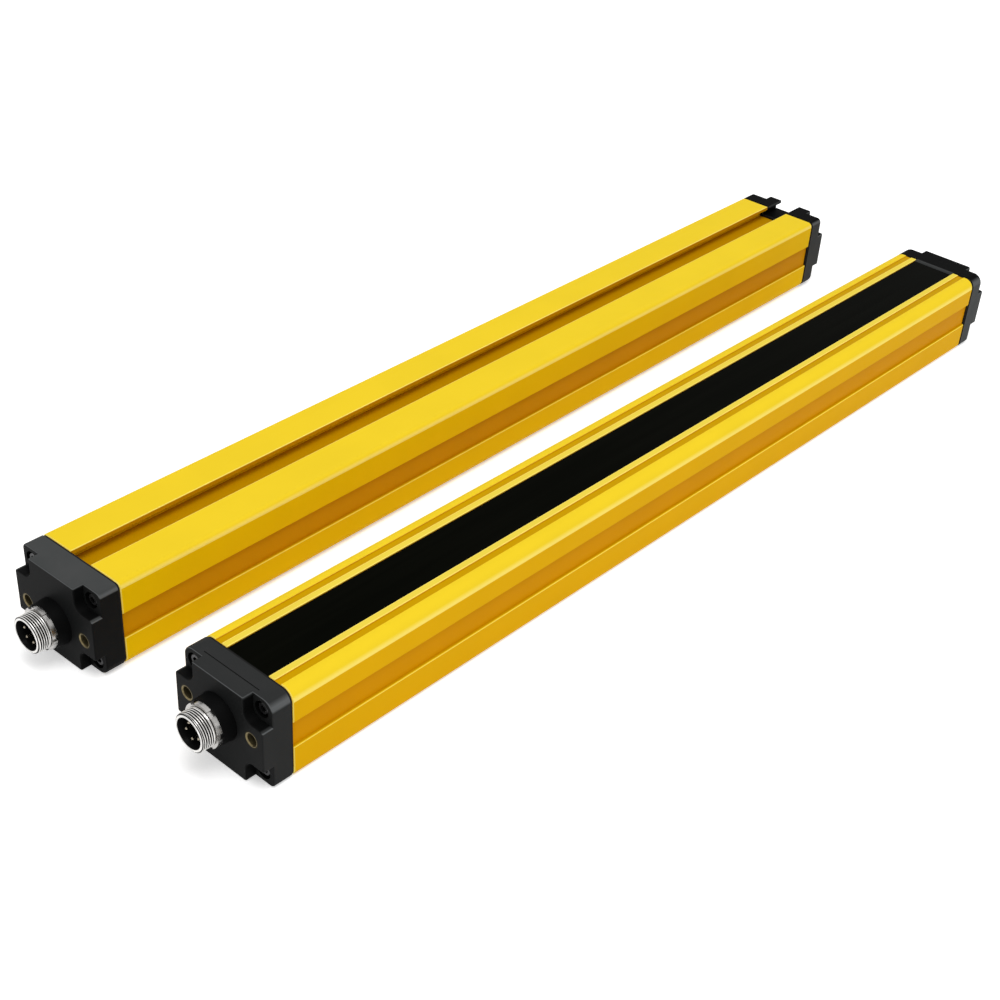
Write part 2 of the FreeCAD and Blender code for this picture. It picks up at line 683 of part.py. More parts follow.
def connector_pins():
    """Contact pins from their tapered tips to their tails behind the connector board."""
    pins = []
    for y, z in pin_places():
        pin = rod(-CONNECTOR_BOARD_END - PIN_TAIL_LENGTH, PIN_END, PIN_RADIUS, y, z)
        pins.append(pin.makeChamfer(PIN_TIP_CHAMFER, rim_edges(pin, PIN_END)))
    return raised(pins)


# Boards and what stands on them


def optics_board():
    start = OPTICS_BOARD_END_GAP
    end = PROFILE_LENGTH - OPTICS_BOARD_END_GAP
    return [centred_block(start, end, 2 * BOARD_HALF_WIDTH, OPTICS_BOARD_LEVEL, OPTICS_BOARD_TOP)]


def control_board():
    start = CONTROL_BOARD_START
    end = start + CONTROL_BOARD_LENGTH
    return [centred_block(start, end, 2 * BOARD_HALF_WIDTH, CONTROL_BOARD_LEVEL, CONTROL_BOARD_TOP)]


def connector_board():
    """An upright board with a hole for each pin, standing on the control board."""
    start = CONNECTOR_BOARD_START
    end = CONNECTOR_BOARD_END
    body = centred_block(start, end, CONNECTOR_BOARD_WIDTH, CONTROL_BOARD_TOP, CONNECTOR_BOARD_TOP)
    holes = [rod(start, end, PIN_RADIUS + PIN_FIT, -y, z + CONNECTOR_OFFSET) for y, z in pin_places()]
    return [body.cut(holes)]


def angle_header():
    """The block of contacts in the corner between the control board and the connector board."""
    length, width, height = ANGLE_HEADER_SIZE
    start = CONNECTOR_BOARD_END
    return [centred_block(start, start + length, width, CONTROL_BOARD_TOP, CONTROL_BOARD_TOP + height)]


def board_header():
    """The plug between the control board and the optics board above it."""
    length, width = BOARD_HEADER_SIZE
    start = BOARD_HEADER_START
    return [centred_block(start, start + length, width, CONTROL_BOARD_TOP, OPTICS_BOARD_LEVEL)]


def control_chips():
    """Processor, power inductor and two capacitors on the control board."""
    foot = CONTROL_BOARD_TOP
    length, width, height = PROCESSOR_SIZE
    processor = centred_block(PROCESSOR_PLACE, PROCESSOR_PLACE + length, width, foot, foot + height)
    inductor = pillar(INDUCTOR_PLACE, 0, foot, foot + INDUCTOR_HEIGHT, INDUCTOR_RADIUS)
    top = foot + CAPACITOR_HEIGHT
    capacitors = both_sides(
        lambda side: pillar(CAPACITOR_PLACE, side * CHIP_SIDE_STEP, foot, top, CAPACITOR_RADIUS)
    )
    return [processor, inductor] + capacitors


def optics_carrier():
    """The baffle: a bar with a tapered hole for each beam and a seat for the lens strip."""
    body = centred_block(CARRIER_START, CARRIER_STOP, CARRIER_WIDTH, OPTICS_BOARD_TOP, CARRIER_TOP)
    seat_width = LENS_PLATE_WIDTH + 2 * LENS_CLEARANCE
    seat = centred_block(CARRIER_START, CARRIER_STOP, seat_width, LENS_SEAT, CARRIER_TOP)
    depth = LENS_SEAT - OPTICS_BOARD_TOP
    holes = [
        Part.makeCone(BEAM_HOLE_RADIUS, BEAM_MOUTH_RADIUS, depth, point(place, 0, OPTICS_BOARD_TOP), UP)
        for place in BEAM_PLACES
    ]
    return [body.cut(holes + [seat])]


def lens_strip():
    """A clear plate with a shallow round lens over each beam."""
    plate = centred_block(CARRIER_START, CARRIER_STOP, LENS_PLATE_WIDTH, LENS_SEAT, CARRIER_TOP)
    curvature = (LENS_RADIUS**2 + LENS_HEIGHT**2) / (2 * LENS_HEIGHT)
    lens_top = CARRIER_TOP + LENS_HEIGHT
    lenses = []
    for place in BEAM_PLACES:
        ball = Part.makeSphere(curvature, point(place, 0, lens_top - curvature))
        lenses.append(ball.common(pillar(place, 0, CARRIER_TOP, lens_top, LENS_RADIUS)))
    return [union([plate] + lenses)]


def infrared_leds():
    """Emitter elements: lamps with a tapered crown, one in each hole of the baffle."""
    shoulder = OPTICS_BOARD_TOP + LED_HEIGHT - LED_CROWN
    lamps = []
    for place in BEAM_PLACES:
        body = pillar(place, 0, OPTICS_BOARD_TOP, shoulder, LED_RADIUS)
        crown = Part.makeCone(LED_RADIUS, LED_RADIUS - LED_CROWN, LED_CROWN, point(place, 0, shoulder), UP)
        lamps.append(union([body, crown]))
    return lamps


def photodiodes():
    """Receiver elements: flat chips, one in each hole of the baffle."""
    length, width, height = PHOTODIODE_SIZE
    return [
        Part.makeBox(length, width, height, point(place - length / 2, -width / 2, OPTICS_BOARD_TOP))
        for place in BEAM_PLACES
    ]


def status_led_places():
    middle = (STATUS_LED_COUNT - 1) / 2
    return [(index - middle) * STATUS_LED_SPACING for index in range(STATUS_LED_COUNT)]


def status_lamp_boxes(clearance):
    """The box of each status lamp, grown by a clearance at its sides and top."""
    length, width, height = STATUS_LED_SIZE
    half_length = length / 2 + clearance
    half_width = width / 2 + clearance
    top = OPTICS_BOARD_TOP + height + clearance
    return [
        block(
            STATUS_LED_PLACE - half_length, STATUS_LED_PLACE + half_length,
            y - half_width, y + half_width, OPTICS_BOARD_TOP, top
        )
        for y in status_led_places()
    ]


def status_leds():
    return status_lamp_boxes(0.0)


def status_light_guide():
    """A clear foot over the status lamps with a rod from each to just below the window."""
    length, width, height = LIGHT_GUIDE_FOOT
    start = STATUS_LED_PLACE - length / 2
    foot_top = OPTICS_BOARD_TOP + height
    foot = centred_block(start, start + length, width, OPTICS_BOARD_TOP, foot_top)
    top = WINDOW_BOTTOM - LIGHT_GUIDE_WINDOW_GAP
    rods = [pillar(STATUS_LED_PLACE, y, foot_top, top, LIGHT_GUIDE_RADIUS) for y in status_led_places()]
    return [union([foot] + rods).cut(status_lamp_boxes(LENS_CLEARANCE))]


# Assembly of one bar and of the pair


def at_near_end(solids):
    """Outward-built solids turned to the near end of the bar."""
    for solid in solids:
        solid.rotate(ORIGIN, UP, 180)
    return solids


def at_far_end(solids):
    """Outward-built solids moved to the far end of the bar."""
    for solid in solids:
        solid.translate(ALONG * PROFILE_LENGTH)
    return solids


def bar_parts(beam_element_name, beam_elements):
    """Every piece of one bar, by name, each as a list of separate solids."""
    return {
        "housing_profile": housing_profile(),
        "front_window": front_window(),
        "window_seals": window_seals(),
        "near_gasket": at_near_end([gasket()]),
        "near_cap": at_near_end([near_cap()]),
        "near_cap_screws": at_near_end(cap_screws()),
        "threaded_inserts": at_near_end(threaded_inserts()),
        "connector_shell": at_near_end(connector_shell()),
        "connector_nut": at_near_end(connector_nut()),
        "connector_seal": at_near_end(connector_seal()),
        "connector_insulator": at_near_end(connector_insulator()),
        "connector_pins": at_near_end(connector_pins()),
        "far_gasket": at_far_end([far_gasket()]),
        "far_cap": at_far_end([far_cap()]),
        "far_cap_screws": at_far_end(cap_screws()),
        "optics_board": optics_board(),
        "optics_carrier": optics_carrier(),
        "lens_strip": lens_strip(),
        beam_element_name: beam_elements(),
        "status_leds": status_leds(),
        "status_light_guide": status_light_guide(),
        "control_board": control_board(),
        "control_chips": control_chips(),
        "board_header": board_header(),
        "connector_board": connector_board(),
        "angle_header": angle_header(),
    }


def lie_window_down(solids):
    """Turn a bar half a turn about its own axis, move it beside the emitter and set it askew."""
    spacing = PROFILE_WIDTH + BAR_GAP
    for solid in solids:
        solid.rotate(ORIGIN, ALONG, 180)
        solid.rotate(ORIGIN, UP, RECEIVER_TURN)
        solid.translate(point(-RECEIVER_SET_BACK, spacing, 0))
    return solids


def light_curtain():
    """Both bars by node name, with the origin under the middle of the pair, on the floor."""
    nodes = {}
    for name, solids in bar_parts("infrared_leds", infrared_leds).items():
        nodes["emitter_" + name] = Part.makeCompound(solids)
    for name, solids in bar_parts("photodiodes", photodiodes).items():
        nodes["receiver_" + name] = Part.makeCompound(lie_window_down(solids))
    extent = Part.makeCompound(list(nodes.values())).optimalBoundingBox(False)
    foot = point(-extent.Center.x, -extent.Center.y, -extent.ZMin)
    for shape in nodes.values():
        shape.translate(foot)
    return nodes


os.makedirs("parts", exist_ok=True)
for node_name, node_shape in light_curtain().items():
    node_shape.exportStep(os.path.join("parts", node_name + ".step"))
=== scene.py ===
import bpy
import bmesh
import math
from mathutils import Matrix, Vector


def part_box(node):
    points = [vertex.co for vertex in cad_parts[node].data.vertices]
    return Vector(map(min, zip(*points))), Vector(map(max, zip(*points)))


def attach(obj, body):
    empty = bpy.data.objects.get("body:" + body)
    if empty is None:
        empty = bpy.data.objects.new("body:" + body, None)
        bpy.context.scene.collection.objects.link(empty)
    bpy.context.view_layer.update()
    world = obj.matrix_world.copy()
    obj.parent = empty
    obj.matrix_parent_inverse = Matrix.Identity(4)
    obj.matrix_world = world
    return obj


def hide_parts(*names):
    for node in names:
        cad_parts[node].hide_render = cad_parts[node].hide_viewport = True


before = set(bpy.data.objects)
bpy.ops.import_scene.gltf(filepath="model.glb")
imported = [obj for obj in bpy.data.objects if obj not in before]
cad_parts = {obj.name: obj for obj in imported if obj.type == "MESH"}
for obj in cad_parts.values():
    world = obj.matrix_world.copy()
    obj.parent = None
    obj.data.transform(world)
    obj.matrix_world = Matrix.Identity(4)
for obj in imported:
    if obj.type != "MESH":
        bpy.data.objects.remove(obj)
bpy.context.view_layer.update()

MM = 0.001
BARS = ("emitter", "receiver")


# Where things are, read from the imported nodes


def centre(node):
    low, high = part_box(node)
    return (low + high) / 2


def bar_frame(bar):
    """The bar's own frame: X from the near gasket to the far one, Z out of the window."""
    start = centre(bar + "_near_gasket")
    end = centre(bar + "_far_gasket")
    along = (end - start).normalized()
    out = 1 if centre(bar + "_front_window").z > start.z else -1
    up = Vector((0, 0, out))
    across = up.cross(along)
    axes = Matrix((along, across, up)).transposed().to_4x4()
    return Matrix.Translation(start) @ axes


BAR_FRAMES = {bar: bar_frame(bar) for bar in BARS}
# The emitter lies square to the frame, so its boxes give the sizes of both bars.
PROFILE_LOW, PROFILE_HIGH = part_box("emitter_housing_profile")
HALF_WIDTH = (PROFILE_HIGH.y - PROFILE_LOW.y) / 2
HALF_DEPTH = (PROFILE_HIGH.z - PROFILE_LOW.z) / 2
CORNER_RADIUS = 5.0 * MM
BAR_LENGTH = (centre("emitter_far_gasket") - centre("emitter_near_gasket")).length


def connector_frame(bar):
    """The connector's frame: its origin on its axis at the barrel's rim, X pointing outward."""
    local = BAR_FRAMES["emitter"].inverted()
    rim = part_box("emitter_connector_shell")[0].x
    middle = centre("emitter_connector_nut")
    place = local @ Vector((rim, middle.y, middle.z))
    return BAR_FRAMES[bar] @ Matrix.Translation(place) @ Matrix.Rotation(math.pi, 4, "Z")


# Material tools


def new_material(name):
    material = bpy.data.materials.new(name)
    material.use_nodes = True
    nodes = material.node_tree.nodes
    nodes.clear()
    output = nodes.new("ShaderNodeOutputMaterial")
    shader = nodes.new("ShaderNodeBsdfPrincipled")
    material.node_tree.links.new(shader.outputs["BSDF"], output.inputs["Surface"])
    return material, shader


def add(material, kind, inputs=None, **settings):
    """A node with its settings, and its inputs set to values or linked to other sockets."""
    node = material.node_tree.nodes.new(kind)
    for key, value in settings.items():
        setattr(node, key, value)
    for key, value in (inputs or {}).items():
        if isinstance(value, bpy.types.NodeSocket):
            material.node_tree.links.new(value, node.inputs[key])
        else:
            node.inputs[key].default_value = value
    return node


def math_node(material, operation, first, second=0.0, clamp=False):
    node = add(material, "ShaderNodeMath", {0: first, 1: second}, operation=operation, use_clamp=clamp)
    return node.outputs[0]


def vector_node(material, operation, first, second=(0, 0, 0)):
    node = add(material, "ShaderNodeVectorMath", {0: first, 1: second}, operation=operation)
    return node.outputs["Value"] if operation == "LENGTH" else node.outputs["Vector"]


def mix_colours(material, factor, first, second, blend="MIX"):
    node = add(material, "ShaderNodeMix", data_type="RGBA", blend_type=blend)
    for socket, value in ((node.inputs[0], factor), (node.inputs[6], first), (node.inputs[7], second)):
        if isinstance(value, bpy.types.NodeSocket):
            material.node_tree.links.new(value, socket)
        else:
            socket.default_value = value if not isinstance(value, tuple) else (*value, 1)
    return node.outputs[2]


def ramp(material, value, stops):
    """A colour ramp over 0 to 1, with stops as (position, grey level or colour)."""
    node = add(material, "ShaderNodeValToRGB", {0: value})
    elements = node.color_ramp.elements
    while len(elements) < len(stops):
        elements.new(0.5)
    for element, (position, colour) in zip(elements, stops):
        element.position = position
        element.color = (*colour, 1) if isinstance(colour, tuple) else (colour, colour, colour, 1)
    return node.outputs["Color"]


def noise(material, vector, scale, detail):
    node = add(material, "ShaderNodeTexNoise", {"Vector": vector, "Scale": scale, "Detail": detail})
    return node.outputs[0]


def object_place(material):
    return add(material, "ShaderNodeTexCoord").outputs["Object"]


def in_frame(material, matrix):
    """The surface point in the given frame, in metres."""
    inverse = matrix.inverted()
    inputs = {
        "Vector": object_place(material),
        "Location": inverse.to_translation(),
        "Rotation": inverse.to_euler("XYZ"),
    }
    return add(material, "ShaderNodeMapping", inputs, vector_type="POINT").outputs["Vector"]


def bump(material, shader, height, distance, strength):
    node = add(material, "ShaderNodeBump", {"Height": height, "Distance": distance, "Strength": strength})
    link(material, node.outputs["Normal"], shader.inputs["Normal"])


def link(material, socket, target):
    material.node_tree.links.new(socket, target)


def multiply(material, first, second):
    """Two colours multiplied channel by channel."""
    return mix_colours(material, 1.0, first, second, blend="MULTIPLY")


def absolute(material, value):
    return math_node(material, "ABSOLUTE", value)


def set_values(shader, **values):
    """Constants set straight on the shader's sockets, by name with _ for a space."""
    for key, value in values.items():
        shader.inputs[key.replace("_", " ")].default_value = value


def dress(nodes, material):
    """Gives every slot of the named nodes one material."""
    for node in nodes:
        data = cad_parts[node].data
        data.materials.clear()
        data.materials.append(material)


def on_both(*names):
    return [f"{bar}_{name}" for bar in BARS for name in names]


# Where a surface point lies on a bar, and which way it faces


def depth_below_skin(material, place):
    """How far a point lies inside the bar's rounded outline, in metres."""
    flat = vector_node(material, "MULTIPLY", place, (0, 1, 1))
    size = (0, HALF_WIDTH - CORNER_RADIUS, HALF_DEPTH - CORNER_RADIUS)
    beyond = vector_node(material, "SUBTRACT", vector_node(material, "ABSOLUTE", flat), size)
    outside = vector_node(material, "LENGTH", vector_node(material, "MAXIMUM", beyond, (0, 0, 0)))
    parts = add(material, "ShaderNodeSeparateXYZ", {"Vector": beyond})
    largest = math_node(material, "MAXIMUM", parts.outputs["Y"], parts.outputs["Z"])
    inside = math_node(material, "MINIMUM", largest, 0.0)
    distance = math_node(material, "ADD", outside, inside)
    return math_node(material, "SUBTRACT", CORNER_RADIUS, distance)


def recess_mask(material, place, shallow, deep):
    """0 on the bar's skin and 1 below it, rising between two depths in metres."""
    depth = math_node(material, "DIVIDE", depth_below_skin(material, place), 2 * deep)
    return ramp(material, depth, [(shallow / (2 * deep), 0.0), (0.5, 1.0)])


def axis_distance(material, place, reach):
    """Distance from the X axis of a frame, as a share of the given reach."""
    radius = vector_node(material, "LENGTH", vector_node(material, "MULTIPLY", place, (0, 1, 1)))
    return math_node(material, "DIVIDE", radius, reach)


def facing(material):
    """The parts of the surface normal."""
    normal = add(material, "ShaderNodeNewGeometry").outputs["Normal"]
    return add(material, "ShaderNodeSeparateXYZ", {"Vector": normal}).outputs


# Scales of the noise textures, in cycles per metre

DRAW_LINES = 2600.0
COAT_PATCHES = 38.0
COAT_SCUFFS = 160.0
MOULD_GRAIN = 5200.0
MOULD_CLOUDS = 90.0
WINDOW_RIPPLE = 240.0
TURNING_MARKS = 400.0
BRASS_MARKS = 900.0

# Yellow coat of the housing profiles

# Painted light and shade: one yellow coat, lemon where faces look up into the light, amber where they stand
# upright in shade
LIT_TOP_LEMON = (0.875, 0.625, 0.022)
SHADED_SIDE_AMBER = {"emitter": (0.77, 0.42, 0.001), "receiver": (0.87, 0.55, 0.0)}
LIP_PALE = (0.84, 0.65, 0.07)
# Painted highlight on rounded edges, end chamfers and along lip and groove edges
PAINTED_EDGE_GLINT = (1.0, 0.79, 0.15)
# Painted shade: in recesses the face colours are multiplied by these, and on the T-slot's walls a lighter
# factor takes the place of the upright one
RECESS_SHADE_LEMON = {"emitter": (0.67, 0.52, 0.0), "receiver": (0.59, 0.42, 0.0)}
RECESS_SHADE_AMBER = {"emitter": (0.86, 0.69, 0.02), "receiver": (0.74, 0.53, 0.02)}
SLOT_WALL_SHADE = (1.0, 1.0, 0.5)
# Distances from the bar's middle, across it and in its depth
WINDOW_EDGE = 11.3 * MM
LIP_OUTER = 14.4 * MM
SLOT_EDGE = 6.25 * MM
SLOT_REACH = 11.0 * MM
SLOT_LIP_FOOT = 18.3 * MM
# Width of the painted highlight lines along edges
EDGE_LINE = 0.5 * MM
DRAW_LINE_DEPTH = 0.02 * MM
# Where a rounded edge passes from the painted highlight to the lit top colour, by how far it faces up
GLINT_FADE = {"emitter": [(0.2, 0.0), (0.5, 1.0)], "receiver": [(0.35, 0.0), (0.75, 1.0)]}
# The edge of the side groove that lies lower in the scene, as a height in the bar's own frame, where a
# painted highlight line runs
GROOVE_FOOT = {"emitter": -5.8 * MM, "receiver": 5.8 * MM}


def top_colour(material, place):
    """Front and back faces: lemon lands in their lit colour, paler lips, and a painted highlight line along
    each lip's edge.
    """
    across = math_node(material, "DIVIDE", absolute(material, place["Y"]), HALF_WIDTH)
    edge = WINDOW_EDGE / HALF_WIDTH
    line = EDGE_LINE / HALF_WIDTH
    lip = LIP_OUTER / HALF_WIDTH
    slot = SLOT_EDGE / HALF_WIDTH
    front = [
        (edge + line * 0.6, PAINTED_EDGE_GLINT), (edge + line, LIP_PALE),
        (lip - line, LIP_PALE), (lip - line * 0.6, PAINTED_EDGE_GLINT), (lip + 2 * line, LIT_TOP_LEMON),
    ]
    back = [(slot + line * 0.6, PAINTED_EDGE_GLINT), (slot + line, LIT_TOP_LEMON)]
    on_front = math_node(material, "GREATER_THAN", place["Z"], 0.0)
    return mix_colours(material, on_front, ramp(material, across, back), ramp(material, across, front))


def coat_material(bar):
    """Satin yellow coat with faint draw lines, painted lit lemon on top and shaded amber on upright faces,
    with painted highlights on edges and painted shade in recesses.
    """
    material, shader = new_material(bar + "_coat")
    place = in_frame(material, BAR_FRAMES[bar])
    parts = add(material, "ShaderNodeSeparateXYZ", {"Vector": place}).outputs
    normal = facing(material)
    # Painted highlight line along the side groove's lower edge
    above_foot = math_node(material, "SUBTRACT", parts["Z"], GROOVE_FOOT[bar])
    foot_line = math_node(material, "LESS_THAN", absolute(material, above_foot), EDGE_LINE)
    side = mix_colours(material, foot_line, SHADED_SIDE_AMBER[bar], PAINTED_EDGE_GLINT)
    # Painted highlight on rounded edges, fading to the lit top colour as they face up
    glint = ramp(material, normal["Z"], [(0.03, 0.0), (0.1, 1.0)])
    upward = ramp(material, normal["Z"], GLINT_FADE[bar])
    face = mix_colours(material, glint, side, PAINTED_EDGE_GLINT)
    face = mix_colours(material, upward, face, top_colour(material, parts))
    # Painted highlight on the end chamfers
    chamfer_stops = [(0.2, 0.0), (0.4, 1.0), (0.8, 1.0), (0.95, 0.0)]
    chamfer = ramp(material, absolute(material, normal["X"]), chamfer_stops)
    face = mix_colours(material, chamfer, face, PAINTED_EDGE_GLINT)
    # Painted shade in recesses, lighter on the T-slot's walls
    within = math_node(material, "LESS_THAN", absolute(material, parts["Y"]), SLOT_REACH)
    under = math_node(material, "LESS_THAN", absolute(material, parts["Z"]), SLOT_LIP_FOOT)
    in_slot = math_node(material, "MULTIPLY", within, under)
    wall_shade = mix_colours(material, in_slot, RECESS_SHADE_AMBER[bar], SLOT_WALL_SHADE)
    level = ramp(material, normal["Z"], [(0.3, 0.0), (0.8, 1.0)])
    recess_shade = mix_colours(material, level, wall_shade, RECESS_SHADE_LEMON[bar])
    plain = mix_colours(material, upward, SHADED_SIDE_AMBER[bar], LIT_TOP_LEMON)
    shaded_sunk = multiply(material, plain, recess_shade)
    colour = mix_colours(material, recess_mask(material, place, 0.15 * MM, 0.45 * MM), face, shaded_sunk)
    lines = noise(material, vector_node(material, "MULTIPLY", place, (0.02, 1, 1)), DRAW_LINES, 2.0)
    shade = ramp(material, noise(material, place, COAT_PATCHES, 2.0), [(0.3, 0.965), (0.7, 1.0)])
    link(material, multiply(material, colour, shade), shader.inputs["Base Color"])
    scuff = ramp(material, noise(material, place, COAT_SCUFFS, 4.0), [(0.62, 0.0), (0.72, 0.12)])
    roughness = math_node(material, "ADD", ramp(material, lines, [(0.3, 0.36), (0.7, 0.46)]), scuff)
    link(material, roughness, shader.inputs["Roughness"])
    set_values(shader, Specular_IOR_Level=0.015)
    bump(material, shader, lines, DRAW_LINE_DEPTH, 0.35)
    return material


# Black plastics, seals and window

# Painted sheen on the caps' rounded edges, and painted shade for pockets and the collar around the
# connector
PAINTED_CAP_SHEEN = (0.11, 0.11, 0.112)
CAP_SHADE = (0.003, 0.003, 0.003)
COLLAR_REACH = 10.2 * MM
TONGUE_GREY = (0.045, 0.045, 0.045)
MOULD_GRAIN_DEPTH = 0.03 * MM
WINDOW_RIPPLE_DEPTH = 0.01 * MM
# Bar, end, greys of the top, the sides and the end face, painted lighter or darker as the light falls on
# each, and specular level
CAP_LOOKS = (
    ("emitter", "near", 0.028, 0.022, 0.011, 0.03),
    ("emitter", "far", 0.003, 0.075, 0.014, 0.01),
    ("receiver", "near", 0.060, 0.006, 0.009, 0.03),
    ("receiver", "far", 0.003, 0.055, 0.014, 0.01),
)


def moulded_material(name, colour, roughness, specular):
    """Moulded plastic with a fine spark-eroded grain."""
    material, shader = new_material(name)
    place = object_place(material)
    fine = noise(material, place, MOULD_GRAIN, 2.0)
    cloud = noise(material, place, MOULD_CLOUDS, 3.0)
    darker = tuple(channel * 0.82 for channel in colour)
    link(material, mix_colours(material, cloud, darker, colour), shader.inputs["Base Color"])
    low, high = roughness - 0.05, roughness + 0.06
    link(material, ramp(material, fine, [(0.25, low), (0.75, high)]), shader.inputs["Roughness"])
    set_values(shader, Specular_IOR_Level=specular)
    bump(material, shader, fine, MOULD_GRAIN_DEPTH, 0.5)
    return material


def cap_material(bar, end, top, side, face, specular):
    """Moulded cap: a grey each for top, sides and end face as painted light and shade, a painted sheen
    along its rounded long edges, and painted shade in pockets and, on near caps, around the connector.
    """
    material, shader = new_material(f"{bar}_{end}_cap_black")
    place = in_frame(material, BAR_FRAMES[bar])
    normal = facing(material)
    # Painted light and shade: tops, sides and end faces get different greys as the light falls on them
    upright = ramp(material, normal["Z"], [(0.1, side), (0.9, top)])
    # Painted sheen along the rounded long edges of the cap's skin
    bend = ramp(material, normal["Z"], [(0.1, 0.0), (0.3, 1.0), (0.55, 1.0), (0.85, 0.0)])
    skin = math_node(material, "SUBTRACT", 1.0, recess_mask(material, place, 0.3 * MM, 0.8 * MM))
    sheen = math_node(material, "MULTIPLY", bend, skin)
    ended = ramp(material, absolute(material, normal["X"]), [(0.7, 0.0), (0.95, 1.0)])
    grey = mix_colours(material, ended, upright, (face, face, face))
    grey = mix_colours(material, sheen, grey, PAINTED_CAP_SHEEN)
    # Painted shade in the pockets below the cap's skin
    recess = recess_mask(material, place, 0.8 * MM, 1.6 * MM)
    pocket = math_node(material, "SUBTRACT", recess, ended, clamp=True)
    grey = mix_colours(material, pocket, grey, CAP_SHADE)
    if end == "near":
        # Painted shade around the connector, on the collar
        axis = BAR_FRAMES["emitter"].inverted() @ connector_frame("emitter").translation
        from_axis = vector_node(material, "SUBTRACT", place, axis)
        collar = math_node(material, "LESS_THAN", axis_distance(material, from_axis, COLLAR_REACH), 1.0)
        grey = mix_colours(material, collar, grey, CAP_SHADE)
    else:
        along = add(material, "ShaderNodeSeparateXYZ", {"Vector": place}).outputs["X"]
        tongue = math_node(material, "LESS_THAN", along, BAR_LENGTH)
        grey = mix_colours(material, tongue, grey, TONGUE_GREY)
    fine = noise(material, place, MOULD_GRAIN, 2.0)
    cloud = noise(material, place, MOULD_CLOUDS, 3.0)
    shade = ramp(material, cloud, [(0.3, (0.84, 0.89, 0.89)), (0.7, (0.97, 1.0, 1.0))])
    link(material, multiply(material, grey, shade), shader.inputs["Base Color"])
    link(material, ramp(material, fine, [(0.25, 0.46), (0.75, 0.58)]), shader.inputs["Roughness"])
    set_values(shader, Specular_IOR_Level=specular)
    bump(material, shader, fine, MOULD_GRAIN_DEPTH, 0.5)
    return material


def window_material():
    """Dark infrared-pass plastic, smooth, with a very faint extrusion ripple."""
    material, shader = new_material("window_dark")
    place = vector_node(material, "MULTIPLY", object_place(material), (0.05, 1, 1))
    ripple = noise(material, place, WINDOW_RIPPLE, 1.0)
    dark, pale = (0.0014, 0.0016, 0.0008), (0.0021, 0.0023, 0.0013)
    link(material, ramp(material, ripple, [(0.3, dark), (0.7, pale)]), shader.inputs["Base Color"])
    link(material, ramp(material, ripple, [(0.2, 0.16), (0.8, 0.24)]), shader.inputs["Roughness"])
    set_values(shader, Specular_IOR_Level=0.004)
    bump(material, shader, ripple, WINDOW_RIPPLE_DEPTH, 0.4)
    return material


# Metals

TOOL_MARK_DEPTH = 0.01 * MM
INSERT_RADIUS = 3.5 * MM


def turning_marks(material, place):
    """Fine rings that the tool leaves around the X axis."""
    return noise(material, vector_node(material, "MULTIPLY", place, (6, 1, 1)), TURNING_MARKS, 3.0)


def metal_material(name, colour, roughness):
    """Turned or plated metal with fine marks from the tool."""
    material, shader = new_material(name)
    marks = turning_marks(material, object_place(material))
    darker = tuple(channel * 0.8 for channel in colour)
    link(material, mix_colours(material, marks, darker, colour), shader.inputs["Base Color"])
    roughness_stops = [(0.3, roughness - 0.04), (0.7, roughness + 0.06)]
    link(material, ramp(material, marks, roughness_stops), shader.inputs["Roughness"])
    set_values(shader, Metallic=1.0)
    bump(material, shader, marks, TOOL_MARK_DEPTH, 0.3)
    return material


def thread_material(bar):
    """Plated barrel: plated crests and rim, with painted shade in the thread roots and inside the bore."""
    material, shader = new_material(bar + "_barrel_plating")
    place = in_frame(material, connector_frame(bar))
    height = axis_distance(material, place, BARREL_RADIUS)
    bore = BARREL_BORE / BARREL_RADIUS
    root = (BARREL_RADIUS - THREAD_DEPTH) / BARREL_RADIUS
    # Painted shade inside the bore and in the thread roots
    inside = [(bore + 0.004, 0.0), (bore + 0.012, 1.0)]
    valley = [(root - 0.012, 1.0), (root, 0.0), (0.968, 0.0), (0.984, 1.0)]
    bright = ramp(material, height, inside + valley)
    marks = turning_marks(material, place)
    shade = ramp(material, marks, [(0.3, (0.52, 0.51, 0.49)), (0.7, (0.84, 0.83, 0.81))])
    link(material, mix_colours(material, bright, (0.006, 0.006, 0.006), shade), shader.inputs["Base Color"])
    link(material, bright, shader.inputs["Metallic"])
    link(material, ramp(material, marks, [(0.3, 0.2), (0.7, 0.32)]), shader.inputs["Roughness"])
    set_values(shader, Specular_IOR_Level=0.02)
    bump(material, shader, marks, TOOL_MARK_DEPTH, 0.3)
    return material


